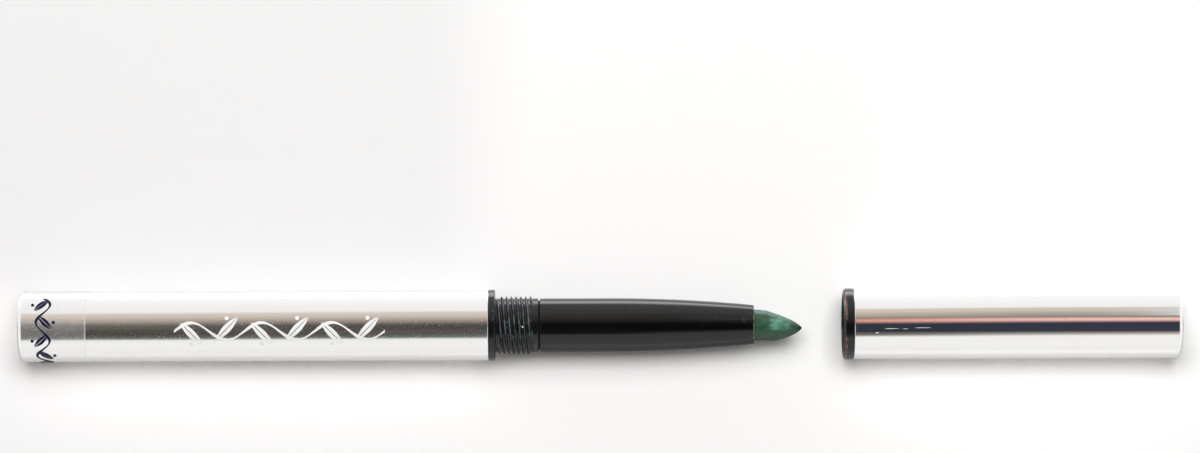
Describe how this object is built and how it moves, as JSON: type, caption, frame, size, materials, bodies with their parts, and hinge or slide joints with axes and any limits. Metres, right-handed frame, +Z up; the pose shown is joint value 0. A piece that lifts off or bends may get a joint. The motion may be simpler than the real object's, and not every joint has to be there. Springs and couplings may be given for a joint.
{
  "type": "kohl container",
  "caption": "Slim twist-up kohl liner with a bright metal barrel, threaded black neck, tapering nose, green kohl stick and a screw cap lying off in front.",
  "frame": {"origin": "middle of the whole row's underside, on the surface it lies on, with the cap off", "axes": "+X along the pen from the closed base to the tip and on to the cap, +Z up from the surface"},
  "size_m": [0.1826, 0.0114, 0.0114],
  "materials": {
    "barrel_metal": "bright, slightly hazy",
    "cap_metal": "mirror bright",
    "clear_film": "clear film with a small printed ornament",
    "neck_plastic": "semi-gloss black",
    "nose_plastic": "glossy black",
    "inner_plastic": "natural white",
    "ring_rubber": "soft black",
    "kohl": "waxy dark green",
    "spring_steel": "plain wire"
  },
  "bodies": {
    "barrel": {"barrel_tube": "barrel_metal", "base_label": "clear_film", "neck_collar": "neck_plastic", "spiral_sleeve": "inner_plastic", "friction_ring": "ring_rubber"},
    "nose": {"nose_sleeve": "nose_plastic", "guide_tube": "inner_plastic"},
    "kohl_feed": {"carrier": "inner_plastic", "kohl_stick": "kohl"},
    "cap_cup": {"inner_cap": "inner_plastic"},
    "cap_advance": {"cap_spring": "spring_steel"},
    "cap": {"cap_shell": "cap_metal", "cap_liner": "neck_plastic"}
  },
  "joints": [
    {"name": "nose_turn", "type": "hinge", "parent": "barrel", "child": "nose", "pos_m": [-0.009, 0, 0.00568], "axis": [1, 0, 0], "range_deg": [-405, 90]},
    {"name": "kohl_slide", "type": "slide", "parent": "nose", "child": "kohl_feed", "axis": [1, 0, 0], "range_m": [-0.009, 0.002]},
    {"name": "cap_lift", "type": "slide", "parent": "barrel", "child": "cap_cup", "axis": [-1, 0, 0], "range_m": [0, 0.04899]},
    {"name": "cap_screw_advance", "type": "slide", "parent": "cap_cup", "child": "cap_advance", "axis": [-1, 0, 0], "range_m": [0, 0.00566], "deforming": ["cap_spring"]},
    {"name": "cap_turn", "type": "hinge", "parent": "cap_advance", "child": "cap", "pos_m": [0.06405, 0, 0.00568], "axis": [-1, 0, 0], "range_deg": [0, 900]}
  ],
  "couplings": [
    {"joint": "nose_turn", "follows": "kohl_slide", "rad_per_m": 785.4},
    {"joint": "cap_turn", "follows": "cap_screw_advance", "rad_per_m": 2777.7}
  ]
}
